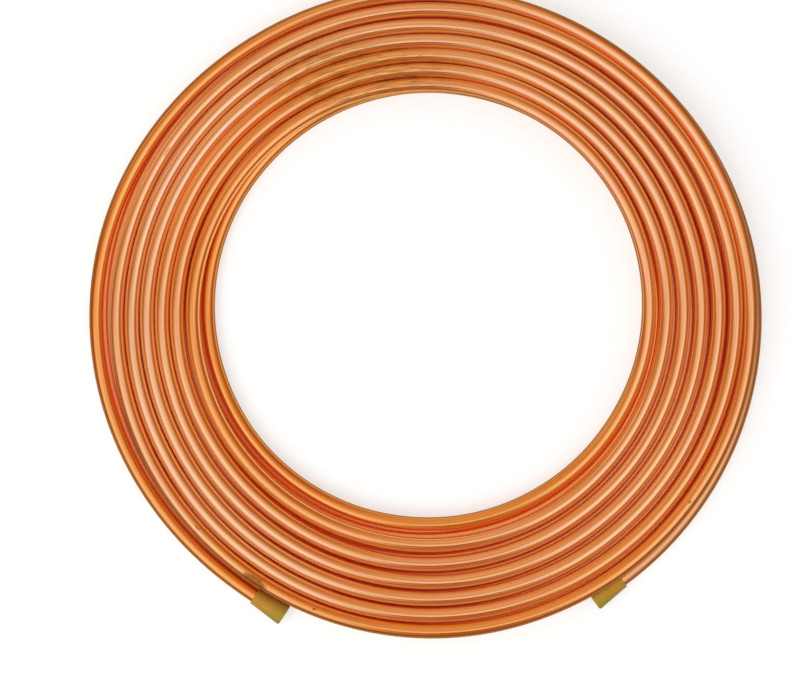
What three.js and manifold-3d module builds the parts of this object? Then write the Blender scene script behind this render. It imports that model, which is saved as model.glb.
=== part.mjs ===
// Copper tube coil: one length of soft copper tube wound flat in two layers, with a
// plastic cap pushed on each end. Millimetres, +Z up, lying on its lower layer at z = 0.
// The layers are one turned solid round the open bore, each turn a rounded rib on its
// faces, and the two loose ends leave the outermost turns as tubes of their own.
import * as THREE from 'three';
import { mergeVertices } from 'three/addons/utils/BufferGeometryUtils.js';
import Module from 'manifold-3d';

const wasm = await Module();
wasm.setup();

// Tube and winding
const tubeDiameter = 9.525;
const turnsAcross = 7;
const innerTurnRadius = 147.1;
const outerTurnRadius = 213.2;
const lowerOuterTurnRadius = 206.9;
const lowerTurnHeight = 0.5 * tubeDiameter;
const upperTurnHeight = 1.5 * tubeDiameter;
const boreCentre = new THREE.Vector2(1.52, 5.2);

// The winding isn't quite round: its outer turns hang to one side and are a little oval
const outerTurnShift = 5.3;
const shiftHeading = -79;
const outerTurnOvality = 1;

// Loose end of the upper layer, which sinks beside the layers as it nears its cap. Both
// ends say how far they have opened out, from 0 to 1, at each share of their way
const upperEnd = {
  leavesAt: -262,
  capMouthAt: -120.75,
  capMouthRadius: 226.2,
  turnRadius: outerTurnRadius,
  turnHeight: upperTurnHeight,
  capHeight: 7,
  openedAt: (share) => THREE.MathUtils.smoothstep(share, 0, 0.7),
};

// Loose end of the lower layer, which lifts a little so that its cap clears the floor
const lowerEnd = {
  leavesAt: -235,
  capMouthAt: -414.75,
  capMouthRadius: 224.8,
  turnRadius: lowerOuterTurnRadius,
  turnHeight: lowerTurnHeight,
  capHeight: 6.1,
  openedAt: (share) => share ** 0.7,
};

// How far inside the outermost turn each loose end starts, so that the two join well
const startInside = 2;

// Caps, and the tube end that is pinched oval inside each
const capLength = 23.7;
const capRadius = 5.95;
const capWall = 0.8;
const capCornerRadius = 0.8;
const capEndWiden = 0.3;
const capEndFlatten = 0.22;
const tubeInCap = 16;

// Fineness of the faceted shapes
const ribStep = 36;
const facetsRound = 48;
const endTubeSides = 12;
const endTubeStepAngle = 4;
const capSides = 24;

const tubeRadius = tubeDiameter / 2;
const facetedRadius = tubeRadius / Math.cos(THREE.MathUtils.degToRad(ribStep / 2));

// ---- The layers ----

// A point of one turn's faceted section, seen at an angle from the bore outwards
function sectionPoint(turnRadius, height, angle) {
  const a = THREE.MathUtils.degToRad(angle);
  return new THREE.Vector2(
    turnRadius + facetedRadius * Math.cos(a),
    height + facetedRadius * Math.sin(a),
  );
}

// The ribs of one layer's face, from the bore outwards, with a valley between each two
function facePoints(outermost, height, side) {
  const pitch = (outermost - innerTurnRadius) / (turnsAcross - 1);
  const points = [];
  for (let turn = 0; turn < turnsAcross; turn += 1) {
    const turnRadius = innerTurnRadius + turn * pitch;
    for (let angle = 180 - ribStep; angle >= ribStep; angle -= ribStep) {
      points.push(sectionPoint(turnRadius, height, side * angle));
    }
    if (turn < turnsAcross - 1) {
      points.push(new THREE.Vector2(turnRadius + pitch / 2, height));
    }
  }
  return points;
}

// Closed section of both layers, walked out along the lower face and back along the upper
function layersProfile() {
  const profile = [
    ...facePoints(lowerOuterTurnRadius, lowerTurnHeight, -1),
    sectionPoint(lowerOuterTurnRadius, lowerTurnHeight, 0),
    sectionPoint(outerTurnRadius, upperTurnHeight, -2 * ribStep),
    sectionPoint(outerTurnRadius, upperTurnHeight, -ribStep),
    sectionPoint(outerTurnRadius, upperTurnHeight, 0),
    ...facePoints(outerTurnRadius, upperTurnHeight, 1).reverse(),
    sectionPoint(innerTurnRadius, upperTurnHeight, 180),
    sectionPoint(innerTurnRadius, upperTurnHeight, 180 + ribStep),
    sectionPoint(innerTurnRadius, upperTurnHeight, 180 + 2 * ribStep),
    sectionPoint(innerTurnRadius, lowerTurnHeight, 180 - ribStep),
    sectionPoint(innerTurnRadius, lowerTurnHeight, 180),
  ];
  return [...profile, profile[0].clone()];
}

// Where a point of the round winding really lies: the further out, the more to one side
function settled(radius, angle) {
  const inward = (outerTurnRadius - radius) / (outerTurnRadius - innerTurnRadius);
  const share = 1 - THREE.MathUtils.clamp(inward, 0, 1) ** 3;
  const a = THREE.MathUtils.degToRad(angle);
  const heading = THREE.MathUtils.degToRad(shiftHeading);
  const stretched = radius + share * outerTurnOvality * Math.cos(2 * a);
  return new THREE.Vector2(
    boreCentre.x + stretched * Math.cos(a) + share * outerTurnShift * Math.cos(heading),
    boreCentre.y + stretched * Math.sin(a) + share * outerTurnShift * Math.sin(heading),
  );
}

function layersGeometry() {
  const geometry = new THREE.LatheGeometry(layersProfile(), facetsRound);
  geometry.rotateX(Math.PI / 2);
  const position = geometry.attributes.position;
  for (let i = 0; i < position.count; i += 1) {
    const radius = Math.hypot(position.getX(i), position.getY(i));
    const angle = Math.atan2(position.getY(i), position.getX(i));
    const place = settled(radius, THREE.MathUtils.radToDeg(angle));
    position.setXY(i, place.x, place.y);
  }
  return geometry;
}

// ---- The loose ends ----

// Route of a loose end: it starts inside the outermost turn, opens out, and runs straight
// on into its cap
function looseEndRoute(end) {
  const span = end.capMouthAt - end.leavesAt;
  const steps = Math.round(Math.abs(span) / endTubeStepAngle);
  const turnRadiusAt = (angle) => settled(end.turnRadius, angle).distanceTo(boreCentre);
  const opening = end.capMouthRadius - turnRadiusAt(end.capMouthAt);
  const points = [];
  for (let i = 0; i <= steps; i += 1) {
    const share = i / steps;
    const angle = end.leavesAt + share * span;
    const a = THREE.MathUtils.degToRad(angle);
    const outwards = THREE.MathUtils.lerp(-startInside, opening, end.openedAt(share));
    const radius = turnRadiusAt(angle) + outwards;
    const drop = THREE.MathUtils.smoothstep(share, 0, 1);
    points.push(new THREE.Vector3(
      boreCentre.x + radius * Math.cos(a),
      boreCentre.y + radius * Math.sin(a),
      THREE.MathUtils.lerp(end.turnHeight, end.capHeight, drop),
    ));
  }
  return points;
}

// Frame of a cap: its mouth's centre, and its directions along, across and up
function capFrame(route) {
  const mouth = route[route.length - 1];
  const along = mouth.clone().sub(route[route.length - 2]).setZ(0).normalize();
  const up = new THREE.Vector3(0, 0, 1);
  const across = new THREE.Vector3().crossVectors(up, along);
  return { mouth, along, across, up };
}

// Pinches what lies past a cap's mouth: wider across and flatter towards the closed end
function pinch(geometry, frame) {
  const position = geometry.attributes.position;
  const point = new THREE.Vector3();
  for (let i = 0; i < position.count; i += 1) {
    point.fromBufferAttribute(position, i).sub(frame.mouth);
    const share = Math.max(point.dot(frame.along) / capLength, 0);
    point.addScaledVector(frame.across, point.dot(frame.across) * capEndWiden * share);
    point.addScaledVector(frame.up, -point.dot(frame.up) * capEndFlatten * share);
    point.add(frame.mouth);
    position.setXYZ(i, point.x, point.y, point.z);
  }
  return geometry;
}

function looseEndGeometry(route, frame) {
  const straight = [0.5, 1].map((share) => (
    frame.mouth.clone().addScaledVector(frame.along, share * tubeInCap)
  ));
  const path = new THREE.CatmullRomCurve3([...route, ...straight]);
  const section = new THREE.Shape();
  for (let i = 0; i < endTubeSides; i += 1) {
    const a = (i + 0.5) * 2 * Math.PI / endTubeSides;
    const corner = [tubeRadius * Math.cos(a), tubeRadius * Math.sin(a)];
    if (i === 0) {
      section.moveTo(...corner);
    } else {
      section.lineTo(...corner);
    }
  }
  const geometry = new THREE.ExtrudeGeometry(section, {
    steps: route.length + 1,
    bevelEnabled: false,
    extrudePath: path,
  });
  return pinch(geometry, frame);
}

// ---- The caps ----

// A cap is a round cup turned about its axis, closed at its far end, then pinched oval
function capGeometry(frame) {
  const shoulder = capRadius - capCornerRadius;
  const profile = [
    new THREE.Vector2(0, capLength),
    new THREE.Vector2(shoulder, capLength),
    new THREE.Vector2(capRadius, capLength - capCornerRadius),
    new THREE.Vector2(capRadius, 0),
    new THREE.Vector2(capRadius - capWall, 0),
    new THREE.Vector2(capRadius - capWall, capLength - capWall),
    new THREE.Vector2(0, capLength - capWall),
  ].reverse();
  const geometry = new THREE.LatheGeometry(profile, capSides);
  const turn = new THREE.Matrix4().makeBasis(frame.up, frame.along, frame.across);
  turn.setPosition(frame.mouth);
  geometry.applyMatrix4(turn);
  return pinch(geometry, frame);
}

// ---- Joining, and the pieces ----

function merged(geometry) {
  geometry.deleteAttribute('normal');
  geometry.deleteAttribute('uv');
  return mergeVertices(geometry, 1e-4);
}

function solidOf(geometry) {
  const closed = merged(geometry);
  return new wasm.Manifold(new wasm.Mesh({
    numProp: 3,
    vertProperties: new Float32Array(closed.attributes.position.array),
    triVerts: new Uint32Array(closed.index.array),
  }));
}

function geometryOf(solid) {
  const mesh = solid.getMesh();
  const geometry = new THREE.BufferGeometry();
  geometry.setAttribute('position', new THREE.BufferAttribute(mesh.vertProperties, 3));
  geometry.setIndex(new THREE.BufferAttribute(mesh.triVerts, 1));
  geometry.computeVertexNormals();
  return geometry;
}

const copper = new THREE.MeshStandardMaterial({ color: 0xd98550, roughness: 0.28, metalness: 1 });
const oliveVinyl = new THREE.MeshStandardMaterial({ color: 0xa8913a, roughness: 0.45, metalness: 0 });

const upperRoute = looseEndRoute(upperEnd);
const lowerRoute = looseEndRoute(lowerEnd);
const upperCapFrame = capFrame(upperRoute);
const lowerCapFrame = capFrame(lowerRoute);

const tube = solidOf(layersGeometry())
  .add(solidOf(looseEndGeometry(upperRoute, upperCapFrame)))
  .add(solidOf(looseEndGeometry(lowerRoute, lowerCapFrame)));

const coil = new THREE.Group();

function addPiece(name, geometry, material) {
  const piece = new THREE.Mesh(geometry, material);
  piece.name = name;
  coil.add(piece);
}

addPiece('copper_tube_coil', geometryOf(tube), copper);
addPiece('end_cap_upper', merged(capGeometry(upperCapFrame)), oliveVinyl);
addPiece('end_cap_lower', merged(capGeometry(lowerCapFrame)), oliveVinyl);

export default coil;
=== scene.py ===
import math
import bpy
from mathutils import Matrix, Vector


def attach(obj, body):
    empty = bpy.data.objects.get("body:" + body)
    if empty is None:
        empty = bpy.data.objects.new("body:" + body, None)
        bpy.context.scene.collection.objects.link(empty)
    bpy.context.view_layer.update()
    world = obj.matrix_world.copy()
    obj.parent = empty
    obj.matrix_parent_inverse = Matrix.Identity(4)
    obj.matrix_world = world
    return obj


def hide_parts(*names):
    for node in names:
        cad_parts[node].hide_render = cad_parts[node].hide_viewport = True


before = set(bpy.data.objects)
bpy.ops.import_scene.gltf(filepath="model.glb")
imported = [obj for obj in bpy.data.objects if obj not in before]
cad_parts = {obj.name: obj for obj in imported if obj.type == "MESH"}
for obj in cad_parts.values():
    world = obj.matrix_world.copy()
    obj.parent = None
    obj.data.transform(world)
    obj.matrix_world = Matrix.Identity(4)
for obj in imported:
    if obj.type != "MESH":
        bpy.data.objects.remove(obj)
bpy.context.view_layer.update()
print("frame loaded:", ", ".join(sorted(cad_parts)))

mm = 0.001
smoothAngle = math.radians(50)      # edges sharper than this stay sharp


# small helpers

def easeBetween(start, end, value):
    share = min(max((value - start) / (end - start), 0), 1)
    return share * share * (3 - 2 * share)


def mix(a, b, share):
    return a + (b - a) * share


def onlySelect(piece):
    bpy.ops.object.select_all(action="DESELECT")
    piece.select_set(True)
    bpy.context.view_layer.objects.active = piece


# the tube
# "turned" is how far the tube has been wound, in degrees clockwise from above, from the mouth
# of the upper cap, in along the upper layer and out again along the lower one.

winding = {
    "tubeRadius": 4.7625 * mm,
    "boreCentre": (1.52 * mm, 5.2 * mm),
    "firstAngle": -120,            # where the winding starts, as a compass angle from +X
    "upperCapAt": 0.75,            # where the two cap mouths are, in degrees turned
    "lowerCapAt": 4974.75,
    # upper layer: the outer turns hang to one side, and they lie looser towards +X. Its values,
    # down to firstTurnSwellTurns, were fitted by a least-squares program, not chosen by hand
    "upperRadius": 220.48 * mm,
    "upperPitch": 10.756 * mm,
    "upperHang": 7.722 * mm,
    "upperHangTurns": 7.674,
    "upperHangHeading": -78,
    "upperHangTwist": -0.956,      # degrees, times the turns squared
    "upperOvality": 0.963 * mm,
    "upperOvalHeading": 10.4,
    "upperThreeSided": 0.274 * mm,
    "upperThreeSidedHeading": 33,
    "firstTurnSwell": 3.278 * mm,
    "firstTurnSwellTurns": 0.341,
    "mouthFlare": 0.28 * mm,
    "mouthFlareAngle": 8,
    # lower layer
    "lowerRadius": 210 * mm,
    "lowerPitch": 9.7 * mm,
    "lowerHang": 7.4 * mm,
    "lowerHangTurns": 7,
    "lowerHangHeading": -87,
    "lowerOvality": 0.98 * mm,
    "lowerOvalHeading": 1.5,
    "lowerEndSpring": 1.5 * mm,
    "lowerEndSpringTurns": 0.5,
    # round the bore, and down from one layer to the other
    "boreTurnRadius": 147 * mm,
    "boreOvality": 0.5 * mm,
    "boreOvalHeading": 25,
    "heldTurnRadius": 159.9 * mm,
    "heldFrom": (2060, 2150),
    "runsInOver": (2165, 2322),
    "leavesBoreOver": (2660, 2720),
    "layerChange": 2500,
    "stepsDownOver": (2360, 2630),
    # stretches that their neighbours push out or in: from, to, until, gone by, how far. The
    # first two amounts were fitted with the upper layer
    "pushes": (
        (140, 185, 225, 275, -1.04 * mm),
        (480, 550, 600, 680, 0.28 * mm),
        (1160, 1200, 1235, 1290, 0.4 * mm),
        (1510, 1552, 1595, 1650, 0.62 * mm),
        (1880, 1925, 1960, 2010, 0.15 * mm),
        (2275, 2305, 2335, 2380, -0.3 * mm),
    ),
    # heights of the two loose ends
    "upperCapHeight": 7 * mm,
    "upperEndRisesOver": (-5, 135),
    "upperEndUpBy": 1000,          # on its layer for certain by here
    "lowerLayerFrom": 3000,
    "lowerCapHeight": 6.1 * mm,
    "lowerEndLiftsOver": 50,
    # slow unevenness that any bent tube has
    "waveHeights": (0.09 * mm, 0.06 * mm, 0.04 * mm),
    "wavesATurn": (3.13, 5.71, 11.37),
    "wavesFadeOver": 60,           # degrees turned, at each cap
    # fineness
    "stepAngle": 1.8,
    "sidesRound": 32,
    "mouthStep": 0.5,              # degrees turned, over which a mouth's direction is taken
    "mergeWithin": 0.01 * mm,
    "straightInCap": 16 * mm,
    "pinchedWithin": 1.05,         # tube radii of a cap's axis, so that no other turn is pinched
    "straightSteps": 4,
}


def windingAngle(turned):
    return math.radians(winding["firstAngle"] - turned)


def swing(turned, heading, times=1):
    # 1 where the winding passes this heading, and -1 half a swing away
    return math.cos(times * (windingAngle(turned) - math.radians(heading)))


def wave(turned):
    fadesIn = easeBetween(0, winding["wavesFadeOver"], turned - winding["upperCapAt"])
    fadesOut = easeBetween(0, winding["wavesFadeOver"], winding["lowerCapAt"] - turned)
    return fadesIn * fadesOut * sum(
        height * math.sin(math.radians(turned) * times)
        for height, times in zip(winding["waveHeights"], winding["wavesATurn"])
    )


def pushed(turned):
    return sum(
        far * easeBetween(rises, full, turned) * (1 - easeBetween(falls, gone, turned))
        for rises, full, falls, gone, far in winding["pushes"]
    )


def boreRadiusAt(turned):
    return winding["boreTurnRadius"] + winding["boreOvality"] * swing(turned, winding["boreOvalHeading"], 2)


def upperRadiusAt(turned):
    turns = turned / 360
    leaning = winding["upperHang"] * (1 - (turns / winding["upperHangTurns"]) ** 3)
    radius = winding["upperRadius"] - winding["upperPitch"] * turns
    radius += leaning * swing(turned, winding["upperHangHeading"] + winding["upperHangTwist"] * turns ** 2)
    radius += winding["upperOvality"] * swing(turned, winding["upperOvalHeading"], 2)
    radius += winding["upperThreeSided"] * swing(turned, winding["upperThreeSidedHeading"], 3)
    swellShare = min(max(turns / winding["firstTurnSwellTurns"], 0), 1)
    radius += winding["firstTurnSwell"] * math.sin(math.pi * swellShare) ** 2
    radius += winding["mouthFlare"] * max(1 - turned / winding["mouthFlareAngle"], 0) ** 2
    radius = mix(radius, winding["heldTurnRadius"], easeBetween(*winding["heldFrom"], turned))
    return mix(radius, boreRadiusAt(turned), easeBetween(*winding["runsInOver"], turned))


def lowerRadiusAt(turned):
    turns = (winding["lowerCapAt"] - turned) / 360
    leaning = winding["lowerHang"] * (1 - (turns / winding["lowerHangTurns"]) ** 2)
    radius = winding["lowerRadius"] - winding["lowerPitch"] * turns
    radius += leaning * (1 + swing(turned, winding["lowerHangHeading"]))
    radius += winding["lowerOvality"] * swing(turned, winding["lowerOvalHeading"], 2)
    if turns < winding["lowerEndSpringTurns"]:
        radius += winding["lowerEndSpring"] * (1 - (turns / winding["lowerEndSpringTurns"]) ** 4)
    return mix(boreRadiusAt(turned), radius, easeBetween(*winding["leavesBoreOver"], turned))


def heightAt(turned):
    lowerLayer = winding["tubeRadius"]
    upperLayer = 3 * winding["tubeRadius"]
    if turned < winding["upperEndUpBy"]:
        return mix(winding["upperCapHeight"], upperLayer, easeBetween(*winding["upperEndRisesOver"], turned))
    if turned < winding["lowerLayerFrom"]:
        return mix(upperLayer, lowerLayer, easeBetween(*winding["stepsDownOver"], turned))
    lift = easeBetween(winding["lowerCapAt"] - winding["lowerEndLiftsOver"], winding["lowerCapAt"], turned)
    return mix(lowerLayer, winding["lowerCapHeight"], lift)


def routePoint(turned):
    onUpperLayer = turned < winding["layerChange"]
    radius = upperRadiusAt(turned) if onUpperLayer else lowerRadiusAt(turned)
    radius += wave(turned) + pushed(turned)
    angle = windingAngle(turned)
    return Vector((
        winding["boreCentre"][0] + radius * math.cos(angle),
        winding["boreCentre"][1] + radius * math.sin(angle),
        heightAt(turned),
    ))


def mouthFrame(turned, onwards):
    # centre of a cap's mouth, and its directions along the cap, across it and up
    mouth = routePoint(turned)
    along = mouth - routePoint(turned - onwards * winding["mouthStep"])
    along.z = 0
    along.normalize()
    up = Vector((0, 0, 1))
    return {"mouth": mouth, "along": along, "across": up.cross(along), "up": up}


upperMouth = mouthFrame(winding["upperCapAt"], -1)
lowerMouth = mouthFrame(winding["lowerCapAt"], 1)


def pinched(point, mouth):
    # the tube end and its cap get wider across and flatter towards the closed end
    offset = point - mouth["mouth"]
    share = max(offset.dot(mouth["along"]) / cap["length"], 0)
    offset += mouth["across"] * offset.dot(mouth["across"]) * cap["widensBy"] * share
    offset -= mouth["up"] * offset.dot(mouth["up"]) * cap["flattensBy"] * share
    return mouth["mouth"] + offset


cap = {
    "radius": 5.95 * mm,
    "length": 23.7 * mm,
    "wall": 1.05 * mm,
    "widensBy": 0.3,
    "flattensBy": 0.22,
    "sidesRound": 48,
    "rings": 10,
    "cornerRadius": 1.1 * mm,
    "cornerSteps": 4,
    "endDimple": 0.5 * mm,
    "dimpleRings": ((0.7, 0.35), (0.6, 0.45), (0.4, 0.2)),   # each shrinks by, and sinks by
    "rimRound": 0.22 * mm,
    "rimSegments": 2,
}


def tubePath():
    # the straight tube end in the upper cap, the whole winding, and the end in the lower cap
    wound = winding["lowerCapAt"] - winding["upperCapAt"]
    steps = round(wound / winding["stepAngle"])
    turns = [winding["upperCapAt"] + wound * i / steps for i in range(steps + 1)]
    straightSteps = winding["straightSteps"]
    straight = [winding["straightInCap"] * i / straightSteps for i in range(1, straightSteps + 1)]
    path = [upperMouth["mouth"] + upperMouth["along"] * s for s in reversed(straight)]
    path += [routePoint(turned) for turned in turns]
    path += [lowerMouth["mouth"] + lowerMouth["along"] * s for s in straight]
    return path


def makeTube():
    path = tubePath()
    curve = bpy.data.curves.new("copper_tube", "CURVE")
    curve.dimensions = "3D"
    curve.twist_mode = "Z_UP"
    curve.bevel_depth = winding["tubeRadius"]
    curve.bevel_resolution = winding["sidesRound"] // 2 - 2
    curve.use_fill_caps = True
    spline = curve.splines.new("POLY")
    spline.points.add(len(path) - 1)
    for point, place in zip(spline.points, path):
        point.co = (*place, 1)
    tube = bpy.data.objects.new("copper_tube", curve)
    bpy.context.scene.collection.objects.link(tube)
    onlySelect(tube)
    bpy.ops.object.convert(target="MESH")
    tube = bpy.context.active_object
    bpy.ops.object.mode_set(mode="EDIT")
    bpy.ops.mesh.select_all(action="SELECT")
    bpy.ops.mesh.remove_doubles(threshold=winding["mergeWithin"])
    bpy.ops.object.mode_set(mode="OBJECT")
    for vertex in tube.data.vertices:
        for mouth in (upperMouth, lowerMouth):
            offset = vertex.co - mouth["mouth"]
            inCap = 0 < offset.dot(mouth["along"]) < cap["length"]
            offAxis = (offset - mouth["along"] * offset.dot(mouth["along"])).length
            if inCap and offAxis < winding["pinchedWithin"] * winding["tubeRadius"]:
                vertex.co = pinched(vertex.co, mouth)
    # U of the tube's own map follows its true length, from the upper cap to the lower one
    lengths = [0]
    for a, b in zip(path, path[1:]):
        lengths.append(lengths[-1] + (b - a).length)
    for corner in tube.data.uv_layers["UVMap"].uv:
        corner.vector.x = lengths[round(corner.vector.x * (len(path) - 1))] / lengths[-1]
    print("tube wound:", round(lengths[-1], 2), "m,", len(tube.data.polygons), "faces")
    return tube, lengths


tube, tubeLengths = makeTube()
tubeLength = tubeLengths[-1]
onlySelect(tube)
bpy.ops.object.shade_smooth_by_angle(angle=smoothAngle)
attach(tube, "root")
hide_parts("copper_tube_coil")


def lengthAt(turned):
    # metres of tube from its upper end to here
    wound = winding["lowerCapAt"] - winding["upperCapAt"]
    straightSteps = winding["straightSteps"]
    steps = len(tubeLengths) - 1 - 2 * straightSteps
    step = straightSteps + steps * (turned - winding["upperCapAt"]) / wound
    before = min(max(int(step), 0), len(tubeLengths) - 2)
    return mix(tubeLengths[before], tubeLengths[before + 1], step - before)


def makeCap(name, mouth, node):
    bpy.ops.object.select_all(action="DESELECT")
    bpy.ops.mesh.primitive_circle_add(vertices=cap["sidesRound"], radius=cap["radius"], location=(0, 0, 0))
    piece = bpy.context.active_object
    piece.name = name
    bpy.ops.object.mode_set(mode="EDIT")
    bpy.ops.mesh.select_all(action="SELECT")
    straight = cap["length"] - cap["cornerRadius"]
    for ring in range(cap["rings"]):
        bpy.ops.mesh.extrude_region_move(TRANSFORM_OT_translate={"value": (0, 0, straight / cap["rings"])})
    for step in range(1, cap["cornerSteps"] + 1):
        turn = math.pi / 2 * step / cap["cornerSteps"]
        before = math.pi / 2 * (step - 1) / cap["cornerSteps"]
        rise = cap["cornerRadius"] * (math.sin(turn) - math.sin(before))
        radius = cap["radius"] - cap["cornerRadius"] * (1 - math.cos(turn))
        wasRadius = cap["radius"] - cap["cornerRadius"] * (1 - math.cos(before))
        bpy.ops.mesh.extrude_region_move(TRANSFORM_OT_translate={"value": (0, 0, rise)})
        bpy.ops.transform.resize(value=(radius / wasRadius, radius / wasRadius, 1))
    for shrink, sink in cap["dimpleRings"]:
        bpy.ops.mesh.extrude_region_move(TRANSFORM_OT_translate={"value": (0, 0, -sink * cap["endDimple"])})
        bpy.ops.transform.resize(value=(shrink, shrink, 1))
    bpy.ops.mesh.merge(type="CENTER")
    bpy.ops.mesh.select_all(action="SELECT")
    bpy.ops.mesh.normals_make_consistent(inside=False)
    bpy.ops.object.mode_set(mode="OBJECT")
    # put it on its tube end, then pinch it
    axes = Matrix((mouth["across"], mouth["up"], mouth["along"])).transposed().to_4x4()
    piece.matrix_world = Matrix.Translation(mouth["mouth"]) @ axes
    bpy.ops.object.transform_apply(location=True, rotation=True, scale=True)
    for vertex in piece.data.vertices:
        vertex.co = pinched(vertex.co, mouth)
    wall = piece.modifiers.new("wall", "SOLIDIFY")
    wall.thickness = cap["wall"]
    wall.offset = -1
    rim = piece.modifiers.new("rim", "BEVEL")
    rim.width = cap["rimRound"]
    rim.segments = cap["rimSegments"]
    rim.limit_method = "ANGLE"
    rim.angle_limit = smoothAngle
    for modifier in (wall, rim):
        bpy.ops.object.modifier_apply(modifier=modifier.name)
    # how far along the cap each point is, and how far round towards the coil
    share = piece.data.attributes.new("alongCap", "FLOAT", "POINT")
    facing = piece.data.attributes.new("towardsCoil", "FLOAT", "POINT")
    inwards = (Vector((*winding["boreCentre"], 0)) - mouth["mouth"]).dot(mouth["across"])
    for vertex in piece.data.vertices:
        offset = vertex.co - mouth["mouth"]
        share.data[vertex.index].value = offset.dot(mouth["along"]) / cap["length"]
        across = offset.dot(mouth["across"])
        facing.data[vertex.index].value = math.copysign(across / cap["radius"], inwards * across)
    bpy.ops.object.shade_smooth_by_angle(angle=smoothAngle)
    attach(piece, "root")
    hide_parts(node)
    print(name, "made:", len(piece.data.polygons), "faces")
    return piece


upperCap = makeCap("upper_cap", upperMouth, "end_cap_upper")
lowerCap = makeCap("lower_cap", lowerMouth, "end_cap_lower")


# materials: small helpers that add a node, join it up and give back its result

def newMaterial(name):
    material = bpy.data.materials.new(name)
    material.use_nodes = True
    return material, material.node_tree


def feed(tree, socket, value):
    if isinstance(value, bpy.types.NodeSocket):
        tree.links.new(value, socket)
    else:
        socket.default_value = value


def maths(tree, operation, *values, clamp=False):
    node = tree.nodes.new("ShaderNodeMath")
    node.operation = operation
    node.use_clamp = clamp
    for socket, value in zip(node.inputs, values):
        feed(tree, socket, value)
    return node.outputs[0]


def vectorMaths(tree, operation, *values):
    node = tree.nodes.new("ShaderNodeVectorMath")
    node.operation = operation
    for socket, value in zip(node.inputs, values):
        feed(tree, socket, value)
    return node.outputs["Value" if operation in ("DOT_PRODUCT", "LENGTH") else "Vector"]


def remap(tree, value, fromLow, fromHigh, toLow=0, toHigh=1, smooth=True):
    node = tree.nodes.new("ShaderNodeMapRange")
    node.interpolation_type = "SMOOTHSTEP" if smooth else "LINEAR"
    for socket, given in zip(node.inputs, (value, fromLow, fromHigh, toLow, toHigh)):
        feed(tree, socket, given)
    return node.outputs[0]


def blend(tree, share, first, second, kind="MIX"):
    node = tree.nodes.new("ShaderNodeMix")
    node.data_type = "RGBA"
    node.blend_type = kind
    feed(tree, node.inputs[0], share)
    feed(tree, node.inputs[6], first)
    feed(tree, node.inputs[7], second)
    return node.outputs[2]


def noise(tree, vector, scale, detail=2, roughness=0.5):
    node = tree.nodes.new("ShaderNodeTexNoise")
    feed(tree, node.inputs["Vector"], vector)
    node.inputs["Scale"].default_value = scale
    node.inputs["Detail"].default_value = detail
    node.inputs["Roughness"].default_value = roughness
    return node.outputs["Fac"]


def combine(tree, x, y, z):
    node = tree.nodes.new("ShaderNodeCombineXYZ")
    for socket, value in zip(node.inputs, (x, y, z)):
        feed(tree, socket, value)
    return node.outputs[0]


def bump(tree, height, distance, strength=1, onto=None):
    node = tree.nodes.new("ShaderNodeBump")
    node.inputs["Distance"].default_value = distance
    node.inputs["Strength"].default_value = strength
    feed(tree, node.inputs["Height"], height)
    if onto:
        feed(tree, node.inputs["Normal"], onto)
    return node.outputs[0]


def newGroup(name, inputs, outputs):
    group = bpy.data.node_groups.new(name, "ShaderNodeTree")
    for socketName, kind, default in inputs:
        socket = group.interface.new_socket(socketName, in_out="INPUT", socket_type=kind)
        if default is not None:
            socket.default_value = default
    for socketName, kind in outputs:
        group.interface.new_socket(socketName, in_out="OUTPUT", socket_type=kind)
    return group, group.nodes.new("NodeGroupInput").outputs, group.nodes.new("NodeGroupOutput").inputs


def useGroup(tree, group, **given):
    node = tree.nodes.new("ShaderNodeGroup")
    node.node_tree = group
    for name, value in given.items():
        feed(tree, node.inputs[name], value)
    return node.outputs


mottleShape = {
    "fineScale": 9,                # times finer than the clouds
    "cloudEdges": (0.34, 0.66),    # the noise values where a cloud starts and is full
    "grainEdges": (0.35, 0.7),
}

scuffShape = {
    "threshold": 0.78,             # the noise value above which a scuff shows
    "loweredBy": 0.2,              # times the amount
    "fade": 0.06,
}


def mottleGroup():
    # soft cloudy patches with a finer grain in them, as on handled metal and on old vinyl
    group, given, result = newGroup(
        "mottle",
        (("Place", "NodeSocketVector", None), ("Size", "NodeSocketFloat", 0.03),
         ("Grain", "NodeSocketFloat", 0.3)),
        (("Cloud", "NodeSocketFloat"), ("Grain", "NodeSocketFloat")),
    )
    place = vectorMaths(group, "DIVIDE", given["Place"], combine(group, *[given["Size"]] * 3))
    cloud = noise(group, place, 1, detail=1.5, roughness=0.45)
    fine = noise(group, place, mottleShape["fineScale"], detail=3, roughness=0.6)
    both = maths(group, "MULTIPLY_ADD", maths(group, "SUBTRACT", fine, 0.5), given["Grain"], cloud)
    group.links.new(remap(group, both, *mottleShape["cloudEdges"]), result["Cloud"])
    group.links.new(remap(group, fine, *mottleShape["grainEdges"]), result["Grain"])
    return group


def scuffGroup():
    # thin broken scratches that run along X of the place given
    group, given, result = newGroup(
        "fine scuffs",
        (("Place", "NodeSocketVector", None), ("Length", "NodeSocketFloat", 0.02),
         ("Width", "NodeSocketFloat", 0.0003), ("Amount", "NodeSocketFloat", 0.4)),
        (("Scuff", "NodeSocketFloat"),),
    )
    size = combine(group, given["Length"], given["Width"], given["Width"])
    threads = noise(group, vectorMaths(group, "DIVIDE", given["Place"], size), 1, detail=1)
    lowered = maths(group, "MULTIPLY", given["Amount"], scuffShape["loweredBy"])
    threshold = maths(group, "SUBTRACT", scuffShape["threshold"], lowered)
    scuff = remap(group, threads, threshold, maths(group, "ADD", threshold, scuffShape["fade"]))
    group.links.new(scuff, result["Scuff"])
    return group


mottle = mottleGroup()
fineScuffs = scuffGroup()


# the copper: bright drawn tube, pinker along its crest, yellower and duller down its sides, where
# the lighter colour is painted light for the grooves, and painted dark shade and reflection where a side
# lies open

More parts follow.
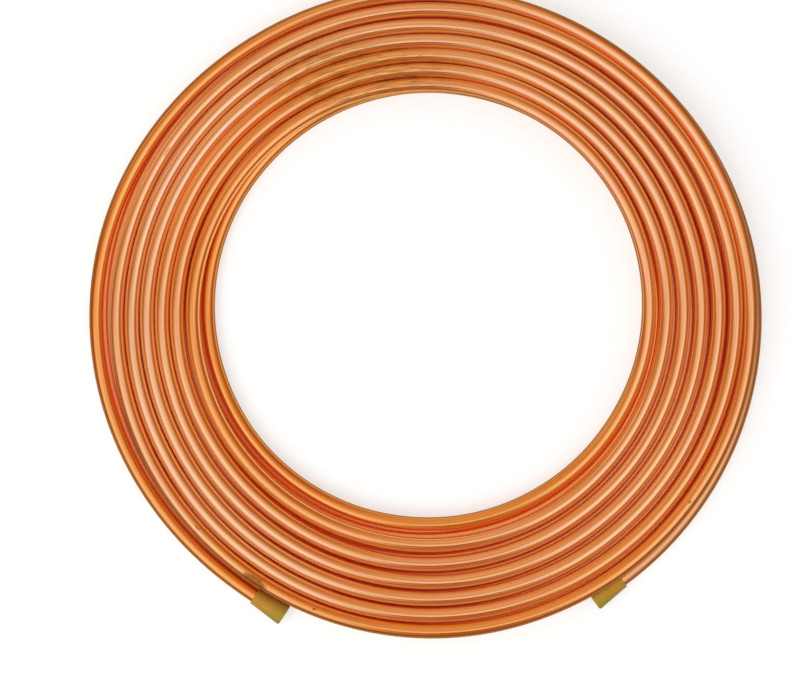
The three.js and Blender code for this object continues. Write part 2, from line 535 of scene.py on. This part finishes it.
copperLook = {
    "crest": (0.94, 0.46, 0.25, 1),
    "flank": (0.94, 0.50, 0.27, 1),
    # lighter and yellower than the crest: painted light for the grooves
    "side": (0.98, 0.585, 0.245, 1),
    # painted dark shade and reflection on the open sides
    "paintedRimShade": (0.34, 0.13, 0.04, 1),    # round the outside and the bore
    "paintedRimShadeFrom": (0.52, 0.86),
    "paintedRimShadeHeights": (-0.2, 0.1),
    # which stretches of the tube have this painted shade: from, full, until, gone, and which way it faces
    "paintedRimShadeOver": (
        (-20, -10, 395, 440, 1),
        (4600, 4650, 4685, 4730, 1),
        (4800, 4860, 4980, 4990, 1),
        (2240, 2330, 2700, 2760, -1),
    ),
    # the tint drifts along the tube: the stretches likewise, and how much of the tint they have
    "yellowerTint": (0.97, 0.80, 0.47, 1),
    "yellowerOver": (
        (-30, -20, 110, 150, 1),
        (215, 300, 350, 400, 0.9),
        (600, 630, 660, 700, 0.45),
        (1490, 1540, 1570, 1610, 0.4),
        (1850, 1890, 1910, 1950, 0.5),
        (2090, 2200, 2260, 2300, 0.85),
        (2390, 2450, 2760, 2840, 1),
    ),
    "pinkerTint": (1, 1.1, 1.25, 1),
    "pinkerOver": (
        (480, 500, 540, 600, 0.5),
        (700, 720, 910, 945, 1),
        (1060, 1080, 1270, 1305, 1),
        (1420, 1440, 1480, 1510, 0.5),
        (1560, 1590, 1640, 1680, 0.8),
        (1920, 1950, 2000, 2040, 0.8),
    ),
    "flankHeights": (0.97, 0.75),     # share of the tube's radius above its middle
    "sideHeights": (0.72, 0.1),
    "pinkPatch": (0.95, 0.46, 0.29, 1),
    "yellowPatch": (0.94, 0.50, 0.24, 1),
    "patchSize": 28 * mm,
    "patchGrain": 0.25,
    "patchShare": 0.55,
    "edgeTint": (1.0, 0.75, 0.45, 1),
    "crestMetallic": 0.99,
    "sideMetallic": 0.5,
    "dullHeights": (0.6, 0.1),
    "roughness": 0.12,
    "patchRoughness": 0.05,
    "lineRoughness": 0.05,
    "markRoughness": 0.15,
    "sideDuller": 0.2,
    "lowerLayerDuller": 0.2,
    "drawLineLength": 90 * mm,
    "drawLineWidth": 0.35 * mm,
    "drawLineDepth": 0.004 * mm,
    "drawLineShade": 0.05,
    "lineSpread": (0.3, 0.7),      # the noise values that the shades are spread over
    "roughLineSpread": (0.35, 0.75),
    "streakWidth": 1.5 * mm,
    "streakShades": (0.92, 1.05),
    "unevenSize": 9 * mm,
    "unevenDepth": 0.012 * mm,
    "scuffColour": (0.62, 0.30, 0.13, 1),
    "scuffLength": 14 * mm,
    "scuffWidth": 0.4 * mm,
    "scuffAmount": 0.35,
    "scuffShare": 0.35,
    # old tarnish on part of the upper layer: an ochre tint, and brown streaks along the tube
    "tarnishTint": (0.88, 0.43, 0.10, 1),
    "tarnishColour": (0.36, 0.15, 0.02, 1),
    "tarnishMiddle": (-48 * mm, 157 * mm, 14 * mm),
    "tarnishReach": (85 * mm, 32 * mm, 30 * mm),
    "tarnishEdge": (0.45, 1.05),       # share of its reach
    "tarnishShare": 0.3,
    "tarnishStreakLength": 13 * mm,
    "tarnishStreakWidth": 0.8 * mm,
    "tarnishStreakAmount": 1.3,
    "tarnishStreakShare": 0.55,
}

# single marks on the tube: how far it has turned there, how far round from its crest
# towards the outside in degrees, and the mark's length, width and strength
markColour = (0.31, 0.08, 0.01, 1)
markEdge = (0.36, 0.56)        # where a mark fades out, as a share of its length and width
markRaggedness = 0.12
markRaggedScale = 700
markRaggedSpread = (0.2, 0.8)
marks = (
    (362.2, 33, 19 * mm, 6.6 * mm, 0.84),
    (361.3, 21, 3 * mm, 1.8 * mm, 0.9),
    (361.5, 56, 14 * mm, 2 * mm, 0.95),
    (376, 6, 5 * mm, 1.8 * mm, 0.6),
    (350.5, 8, 3 * mm, 1.6 * mm, 0.8),
    (450.5, -6, 9 * mm, 1.2 * mm, 0.5),
    (277, 12, 3 * mm, 1.6 * mm, 0.7),
)


def markGroup():
    # an oval mark with a ragged edge
    group, given, result = newGroup(
        "mark",
        (("Along", "NodeSocketFloat", 0), ("Around", "NodeSocketFloat", 0),
         ("Ragged", "NodeSocketFloat", 0),
         ("Middle", "NodeSocketFloat", 0), ("Side", "NodeSocketFloat", 0),
         ("Length", "NodeSocketFloat", 0.01), ("Width", "NodeSocketFloat", 0.004),
         ("Strength", "NodeSocketFloat", 1)),
        (("Mark", "NodeSocketFloat"),),
    )
    offAlong = maths(group, "SUBTRACT", given["Along"], given["Middle"])
    offAlong = maths(group, "DIVIDE", offAlong, given["Length"])
    offAround = maths(group, "SUBTRACT", given["Around"], given["Side"])
    offAround = maths(group, "DIVIDE", offAround, given["Width"])
    reach = vectorMaths(group, "LENGTH", combine(group, offAlong, offAround, 0))
    ragged = maths(group, "ADD", reach, given["Ragged"])
    mark = maths(group, "MULTIPLY", remap(group, ragged, *markEdge, 1, 0), given["Strength"])
    group.links.new(mark, result["Mark"])
    return group


def onStretch(tree, along, rises, full, falls, gone):
    # 1 along this stretch of the tube, given in degrees turned, and 0 away from it
    rising = remap(tree, along, lengthAt(rises), lengthAt(full))
    return maths(tree, "MULTIPLY", rising, remap(tree, along, lengthAt(falls), lengthAt(gone), 1, 0))


def copperMaterial():
    material, tree = newMaterial("drawn copper")
    shader = tree.nodes["Principled BSDF"]
    uv = tree.nodes.new("ShaderNodeUVMap")
    uv.uv_map = "UVMap"
    parts = tree.nodes.new("ShaderNodeSeparateXYZ")
    tree.links.new(uv.outputs[0], parts.inputs[0])
    along = maths(tree, "MULTIPLY", parts.outputs[0], tubeLength)
    angle = maths(tree, "MULTIPLY", parts.outputs[1], 2 * math.pi)
    outward = maths(tree, "COSINE", angle)
    height = maths(tree, "SINE", angle)
    # the place on the tube as if it were pulled straight, in metres
    radius = winding["tubeRadius"]
    across = maths(tree, "MULTIPLY", outward, radius)
    straight = combine(tree, along, across, maths(tree, "MULTIPLY", height, radius))
    place = tree.nodes.new("ShaderNodeTexCoord").outputs["Object"]

    # colour from crest to sides: the lighter, yellower sides are painted light, standing in for light passed
    # from turn to turn in the grooves
    flankShare = remap(tree, height, *copperLook["flankHeights"])
    paintedGrooveLightShare = remap(tree, height, *copperLook["sideHeights"])
    patches = useGroup(
        tree, mottle, Place=straight, Size=copperLook["patchSize"], Grain=copperLook["patchGrain"],
    )
    crest = blend(tree, patches["Cloud"], copperLook["pinkPatch"], copperLook["yellowPatch"])
    crest = blend(tree, copperLook["patchShare"], copperLook["crest"], crest)
    colour = blend(tree, flankShare, crest, copperLook["flank"])
    colour = blend(tree, paintedGrooveLightShare, colour, copperLook["side"])
    for tint in ("yellower", "pinker"):
        for rises, full, falls, gone, share in copperLook[tint + "Over"]:
            here = maths(tree, "MULTIPLY", onStretch(tree, along, rises, full, falls, gone), share)
            colour = blend(tree, here, colour, copperLook[tint + "Tint"], "MULTIPLY")
    # painted dark shade and reflection on the outer side of the outermost turns and the inner side of the
    # turn at the bore
    upperHalf = remap(tree, height, *copperLook["paintedRimShadeHeights"])
    for rises, full, falls, gone, faces in copperLook["paintedRimShadeOver"]:
        here = maths(tree, "MULTIPLY", onStretch(tree, along, rises, full, falls, gone), upperHalf)
        rimShadeShare = remap(tree, maths(tree, "MULTIPLY", outward, faces), *copperLook["paintedRimShadeFrom"])
        colour = blend(tree, maths(tree, "MULTIPLY", rimShadeShare, here), colour, copperLook["paintedRimShade"])

    # fine lines that the drawing die leaves along the tube, and broader faint streaks
    perLength = 1 / copperLook["drawLineLength"]
    perLine = 1 / copperLook["drawLineWidth"]
    perStreak = 1 / copperLook["streakWidth"]
    linePlace = vectorMaths(tree, "MULTIPLY", straight, (perLength, perLine, perLine))
    lines = noise(tree, linePlace, 1, roughness=0.6)
    streakPlace = vectorMaths(tree, "MULTIPLY", straight, (perLength, perStreak, perStreak))
    streaks = noise(tree, streakPlace, 1)
    lineShade = copperLook["drawLineShade"]
    shade = remap(tree, lines, *copperLook["lineSpread"], -lineShade, lineShade)
    streakShade = remap(tree, streaks, *copperLook["lineSpread"], *copperLook["streakShades"])
    shade = maths(tree, "ADD", shade, streakShade)
    redShade = maths(tree, "POWER", shade, 0.5)         # darker places are redder
    colour = blend(tree, 1, colour, combine(tree, redShade, shade, shade), "MULTIPLY")

    # scuffs from handling, thin and broken
    scuffs = useGroup(
        tree, fineScuffs, Place=straight, Length=copperLook["scuffLength"],
        Width=copperLook["scuffWidth"], Amount=copperLook["scuffAmount"],
    )["Scuff"]
    scuffed = maths(tree, "MULTIPLY", scuffs, copperLook["scuffShare"])
    colour = blend(tree, scuffed, colour, copperLook["scuffColour"])

    # tarnish, only where it lies
    offset = vectorMaths(tree, "SUBTRACT", place, copperLook["tarnishMiddle"])
    reach = vectorMaths(tree, "LENGTH", vectorMaths(tree, "DIVIDE", offset, copperLook["tarnishReach"]))
    tarnished = remap(tree, reach, *copperLook["tarnishEdge"], 1, 0)
    tinted = maths(tree, "MULTIPLY", tarnished, copperLook["tarnishShare"])
    colour = blend(tree, tinted, colour, copperLook["tarnishTint"])
    tarnishStreaks = useGroup(
        tree, fineScuffs, Place=straight, Length=copperLook["tarnishStreakLength"],
        Width=copperLook["tarnishStreakWidth"], Amount=copperLook["tarnishStreakAmount"],
    )["Scuff"]
    tarnish = maths(tree, "MULTIPLY", tarnished, tarnishStreaks)
    streaked = maths(tree, "MULTIPLY", tarnish, copperLook["tarnishStreakShare"])
    colour = blend(tree, streaked, colour, copperLook["tarnishColour"])

    # single marks
    fromCrest = maths(tree, "SUBTRACT", parts.outputs[1], 0.25)     # V is 0.25 at the crest
    aroundCrest = maths(tree, "MULTIPLY", fromCrest, -2 * math.pi * radius)
    rags = noise(tree, straight, markRaggedScale, detail=3, roughness=0.6)
    raggedEdge = remap(tree, rags, *markRaggedSpread, -markRaggedness, markRaggedness, smooth=False)
    markShape = markGroup()
    marked = 0
    for turned, side, length, width, strength in marks:
        mark = useGroup(
            tree, markShape, Along=along, Around=aroundCrest, Ragged=raggedEdge,
            Middle=lengthAt(turned), Side=math.radians(side) * radius,
            Length=length, Width=width, Strength=strength,
        )["Mark"]
        marked = maths(tree, "MAXIMUM", marked, mark)
    colour = blend(tree, marked, colour, markColour)
    tree.links.new(colour, shader.inputs["Base Color"])

    # gloss
    clouded = maths(tree, "MULTIPLY", patches["Cloud"], copperLook["patchRoughness"])
    rough = maths(tree, "ADD", clouded, copperLook["roughness"])
    roughLines = remap(tree, lines, *copperLook["roughLineSpread"], 0, copperLook["lineRoughness"])
    rough = maths(tree, "ADD", rough, roughLines)
    spoilt = maths(tree, "MAXIMUM", marked, tarnish)
    rough = maths(tree, "MULTIPLY_ADD", spoilt, copperLook["markRoughness"], rough)
    duller = remap(tree, height, *copperLook["sideHeights"], 0, copperLook["sideDuller"])
    rough = maths(tree, "ADD", rough, duller)
    lowerFrom = lengthAt(winding["leavesBoreOver"][0])
    lowerLayer = remap(tree, along, lowerFrom, lengthAt(winding["lowerLayerFrom"]))
    rough = maths(tree, "MULTIPLY_ADD", lowerLayer, copperLook["lowerLayerDuller"], rough)
    tree.links.new(rough, shader.inputs["Roughness"])
    metals = (copperLook["crestMetallic"], copperLook["sideMetallic"])
    metal = remap(tree, height, *copperLook["dullHeights"], *metals)
    tree.links.new(metal, shader.inputs["Metallic"])
    shader.inputs["Specular Tint"].default_value = copperLook["edgeTint"]

    # relief: draw lines, and a faint unevenness that makes the reflections waver
    uneven = noise(tree, straight, 1 / copperLook["unevenSize"], detail=1, roughness=0.4)
    normal = bump(tree, uneven, copperLook["unevenDepth"])
    normal = bump(tree, lines, copperLook["drawLineDepth"], 1, normal)
    tree.links.new(normal, shader.inputs["Normal"])
    return material


# the caps: soft olive vinyl, ochre where the tube end shows through it, with painted shade on the side
# against the coil

vinylLook = {
    "overTube": (0.60, 0.27, 0.014, 1),
    "hollowEnd": (0.45, 0.31, 0.012, 1),
    "edge": (0.33, 0.24, 0.012, 1),
    "edgeFrom": (0.55, 1.15),
    # painted shade and copper reflection on the side that lies against the coil
    "paintedCoilShade": (0.34, 0.12, 0.02, 1),   # browner where it lies against the coil
    "paintedCoilShadeFrom": (-0.2, 0.8),
    "paintedCoilShadeShare": 0.62,
    "tubeEndsOver": (0.42, 0.92),      # share of the cap's length, from its mouth
    "patchSize": 6 * mm,
    "patchGrain": 0.4,
    "patchShare": 0.3,
    "scuffColour": (0.6, 0.52, 0.2, 1),
    "scuffLength": 2 * mm,
    "scuffWidth": 0.3 * mm,
    "scuffAmount": 0.6,
    "scuffShare": 0.2,
    "roughness": 0.42,
    "grainRoughness": 0.12,
    "grainDepth": 0.03 * mm,
    "grainStrength": 0.6,
    "ior": 1.52,
    "specular": 0.3,
    "transmission": 0.12,
}


def vinylMaterial():
    material, tree = newMaterial("olive vinyl")
    shader = tree.nodes["Principled BSDF"]
    share = tree.nodes.new("ShaderNodeAttribute")
    share.attribute_name = "alongCap"
    place = tree.nodes.new("ShaderNodeTexCoord").outputs["Object"]
    cloudy = useGroup(
        tree, mottle, Place=place, Size=vinylLook["patchSize"], Grain=vinylLook["patchGrain"],
    )
    pastTube = remap(tree, share.outputs["Fac"], *vinylLook["tubeEndsOver"])
    colour = blend(tree, pastTube, vinylLook["overTube"], vinylLook["hollowEnd"])
    clouded = maths(tree, "MULTIPLY", cloudy["Cloud"], vinylLook["patchShare"])
    colour = blend(tree, clouded, colour, vinylLook["edge"])
    facing = tree.nodes.new("ShaderNodeAttribute")
    facing.attribute_name = "towardsCoil"
    offMiddle = maths(tree, "ABSOLUTE", facing.outputs["Fac"])
    colour = blend(tree, remap(tree, offMiddle, *vinylLook["edgeFrom"]), colour, vinylLook["edge"])
    # painted shade and copper reflection, browner on the side against the coil
    against = remap(tree, facing.outputs["Fac"], *vinylLook["paintedCoilShadeFrom"])
    against = maths(tree, "MULTIPLY", against, vinylLook["paintedCoilShadeShare"])
    colour = blend(tree, against, colour, vinylLook["paintedCoilShade"])
    scuffs = useGroup(
        tree, fineScuffs, Place=place, Length=vinylLook["scuffLength"],
        Width=vinylLook["scuffWidth"], Amount=vinylLook["scuffAmount"],
    )["Scuff"]
    scuffed = maths(tree, "MULTIPLY", scuffs, vinylLook["scuffShare"])
    colour = blend(tree, scuffed, colour, vinylLook["scuffColour"])
    tree.links.new(colour, shader.inputs["Base Color"])
    grained = maths(tree, "MULTIPLY", cloudy["Grain"], vinylLook["grainRoughness"])
    tree.links.new(maths(tree, "ADD", grained, vinylLook["roughness"]), shader.inputs["Roughness"])
    shader.inputs["IOR"].default_value = vinylLook["ior"]
    shader.inputs["Specular IOR Level"].default_value = vinylLook["specular"]
    shader.inputs["Transmission Weight"].default_value = vinylLook["transmission"]
    grain = bump(tree, cloudy["Grain"], vinylLook["grainDepth"], vinylLook["grainStrength"])
    tree.links.new(grain, shader.inputs["Normal"])
    return material


tube.data.materials.clear()
tube.data.materials.append(copperMaterial())
vinyl = vinylMaterial()
for piece in (upperCap, lowerCap):
    piece.data.materials.append(vinyl)
print("materials made")


# floor, light and camera

studio = {
    "floorSize": 24,
    "floorDrop": 0.05 * mm,            # just clear of the tube, so that the two never share a face
    "floorRoughness": 0.9,
    "floorColour": (0.58, 0.58, 0.58, 1),
    "floorGlow": 0.51,
    # painted copper-coloured bounce light: a dimmer glow where the coil covers or hems in the floor
    "paintedBounceGlow": 0.17,                   # copper-coloured, where the coil covers or hems in the floor
    "floorShadeReach": 40 * mm,
    # painted copper-coloured bounce light on the floor
    "paintedBounceColour": (0.90, 0.36, 0.16, 1),
    "gapShade": (0.18, 0.32),
    # the ring of floor that the coil lies on, which gets painted shade and copper-coloured bounce light: how
    # far from the bore's centre it starts, and how far from the coil's middle it ends
    "coveredFrom": (148 * mm, 151 * mm),
    "coveredUntil": (203 * mm, 208 * mm),
    "plainLevel": 0.66,                # what lights the dull surfaces from all round
    # the room that shines in the copper: level by how far down from overhead, in degrees.
    # These levels and the soft boxes were fitted by a least-squares program, and a few of them
    # were then changed
    "roomLevels": ((0, 0.90), (15, 0.72), (30, 0.64), (45, 0.50), (60, 0.45), (80, 0.46)),
    # and its colour at each level, because its dimmer parts are warmer
    "roomColours": (
        (0.35, (0.35, 0.15, 0.03, 1)),
        (0.50, (0.49, 0.24, 0.065, 1)),
        (0.70, (0.69, 0.46, 0.20, 1)),
        (0.85, (0.88, 0.74, 0.54, 1)),
        (1.00, (1.03, 1.05, 1.05, 1)),
        (1.15, (1.12, 1.27, 1.42, 1)),
    ),
    # soft boxes and gaps between them: heading and tilt of the middle, the angle that is
    # evenly lit, the angle where it ends, and the level that it adds
    "softBoxes": (
        ("key box", 223, 44, 17, 40, 0.50),
        ("fill box", 321, 33, 10, 36, 0.52),
        ("gap between them", 278, 33, 8, 13, -0.66),
        ("back box", 98, 60, 11, 49, 0.29),
        ("left back box", 148, 64, 1, 25, 0.43),
        ("top box", 185, 13, 0, 12, 0.16),
        ("dark side", 61, 51, 0, 22, -0.16),
    ),
    "topLevel": 1.15,
    "bounces": 32,
}

lamp = {
    "size": 1.8,
    "heading": 220,
    "tilt": 40,
    "distance": 2.2,
    "power": 20,
}


def aim(heading, tilt):
    # unit vector at a compass heading and an angle down from overhead, in degrees
    across = math.sin(math.radians(tilt))
    return Vector((
        across * math.cos(math.radians(heading)),
        across * math.sin(math.radians(heading)),
        math.cos(math.radians(tilt)),
    ))


def makeFloor():
    bpy.ops.object.select_all(action="DESELECT")
    bpy.ops.mesh.primitive_plane_add(size=studio["floorSize"], location=(0, 0, -studio["floorDrop"]))
    floor = bpy.context.active_object
    floor.name = "studio_floor"
    material, tree = newMaterial("pale floor")
    shader = tree.nodes["Principled BSDF"]
    shader.inputs["Roughness"].default_value = studio["floorRoughness"]
    shader.inputs["Specular IOR Level"].default_value = 0
    path = tree.nodes.new("ShaderNodeLightPath")
    seen = maths(tree, "MAXIMUM", path.outputs["Is Camera Ray"], path.outputs["Is Glossy Ray"])
    seen = maths(tree, "MAXIMUM", seen, path.outputs["Is Transmission Ray"])
    # narrow gaps between turns, and the ring that the coil covers, get painted shade and painted
    # copper-coloured bounce light: the copper's colour and a dimmer glow of that colour
    shade = tree.nodes.new("ShaderNodeAmbientOcclusion")
    shade.inputs["Distance"].default_value = studio["floorShadeReach"]
    inTheOpen = remap(tree, shade.outputs["AO"], *studio["gapShade"])
    place = tree.nodes.new("ShaderNodeTexCoord").outputs["Object"]
    fromBore = vectorMaths(tree, "SUBTRACT", place, (*winding["boreCentre"], 0))
    pastBore = remap(tree, vectorMaths(tree, "LENGTH", fromBore), *studio["coveredFrom"])
    underCoil = remap(tree, vectorMaths(tree, "LENGTH", place), *studio["coveredUntil"], 1, 0)
    covered = maths(tree, "MULTIPLY", pastBore, underCoil)
    below = tree.nodes.new("ShaderNodeNewGeometry").outputs["Backfacing"]   # plain from beneath
    covered = maths(tree, "MULTIPLY", covered, maths(tree, "SUBTRACT", 1, below))
    inTheOpen = maths(tree, "MULTIPLY", inTheOpen, maths(tree, "SUBTRACT", 1, covered))
    colour = blend(tree, inTheOpen, studio["paintedBounceColour"], studio["floorColour"])
    tree.links.new(colour, shader.inputs["Base Color"])
    glowColour = blend(tree, inTheOpen, studio["paintedBounceColour"], (1, 1, 1, 1))
    tree.links.new(glowColour, shader.inputs["Emission Color"])
    glow = remap(tree, inTheOpen, 0, 1, studio["paintedBounceGlow"], studio["floorGlow"], smooth=False)
    tree.links.new(maths(tree, "MULTIPLY", seen, glow), shader.inputs["Emission Strength"])
    floor.data.materials.append(material)


def roomShine(tree, direction):
    # what a reflection sees in this direction
    overhead = vectorMaths(tree, "DOT_PRODUCT", direction, (0, 0, 1))
    fromTop = maths(tree, "MULTIPLY", maths(tree, "ARCCOSINE", overhead), 180 / math.pi)
    levels = studio["roomLevels"]
    level = levels[0][1]
    for (nearAngle, nearLevel), (farAngle, farLevel) in zip(levels, levels[1:]):
        change = remap(tree, fromTop, nearAngle, farAngle, 0, farLevel - nearLevel, smooth=False)
        level = maths(tree, "ADD", level, change)
    for name, heading, tilt, even, ends, adds in studio["softBoxes"]:
        facing = vectorMaths(tree, "DOT_PRODUCT", direction, tuple(aim(heading, tilt)))
        offMiddle = maths(tree, "MULTIPLY", maths(tree, "ARCCOSINE", facing), 180 / math.pi)
        level = maths(tree, "ADD", level, remap(tree, offMiddle, even, ends, adds, 0))
    ramp = tree.nodes.new("ShaderNodeValToRGB")
    stops = ramp.color_ramp.elements
    while len(stops) < len(studio["roomColours"]):
        stops.new(0.5)
    for stop, (atLevel, colour) in zip(stops, studio["roomColours"]):
        stop.position = atLevel / studio["topLevel"]
        stop.color = colour
    feed(tree, ramp.inputs[0], maths(tree, "DIVIDE", level, studio["topLevel"]))
    return ramp.outputs[0]


def makeWorld():
    world = bpy.data.worlds.new("studio")
    world.use_nodes = True
    tree = world.node_tree
    background = tree.nodes["Background"]
    direction = tree.nodes.new("ShaderNodeTexCoord").outputs["Generated"]
    path = tree.nodes.new("ShaderNodeLightPath")
    plain = [studio["plainLevel"]] * 3 + [1]
    colour = blend(tree, path.outputs["Is Camera Ray"], plain, (1, 1, 1, 1))
    colour = blend(tree, path.outputs["Is Glossy Ray"], colour, roomShine(tree, direction))
    tree.links.new(colour, background.inputs["Color"])
    bpy.context.scene.world = world


def makeLamp():
    towards = aim(lamp["heading"], lamp["tilt"])
    turn = towards.to_track_quat("Z", "Y").to_euler()
    bpy.ops.object.light_add(type="AREA", location=towards * lamp["distance"], rotation=turn)
    light = bpy.context.active_object
    light.name = "soft_lamp"
    light.data.shape = "SQUARE"
    light.data.size = lamp["size"]
    light.data.energy = lamp["power"]
    light.visible_glossy = False       # the soft boxes stand in the world for what shines


view = {
    "over": (-18.79 * mm, -18.24 * mm),
    "height": 1614.29 * mm,
    "distance": 1600 * mm,
    "widthSeen": 529.5 * mm,
    "nearest": 10 * mm,
}


def makeCamera():
    bpy.ops.object.camera_add(location=(*view["over"], view["height"]), rotation=(0, 0, 0))
    camera = bpy.context.active_object
    camera.data.lens = camera.data.sensor_width * view["distance"] / view["widthSeen"]
    camera.data.clip_start = view["nearest"]
    bpy.context.scene.camera = camera


makeFloor()
makeWorld()
makeLamp()
makeCamera()
bpy.context.scene.view_settings.view_transform = "Standard"
# light is passed from turn to turn in the grooves, and gets out again only after many bounces
bpy.context.scene.cycles.blur_glossy = 0
bpy.context.scene.cycles.glossy_bounces = studio["bounces"]
bpy.context.scene.cycles.max_bounces = studio["bounces"]
print("studio set")
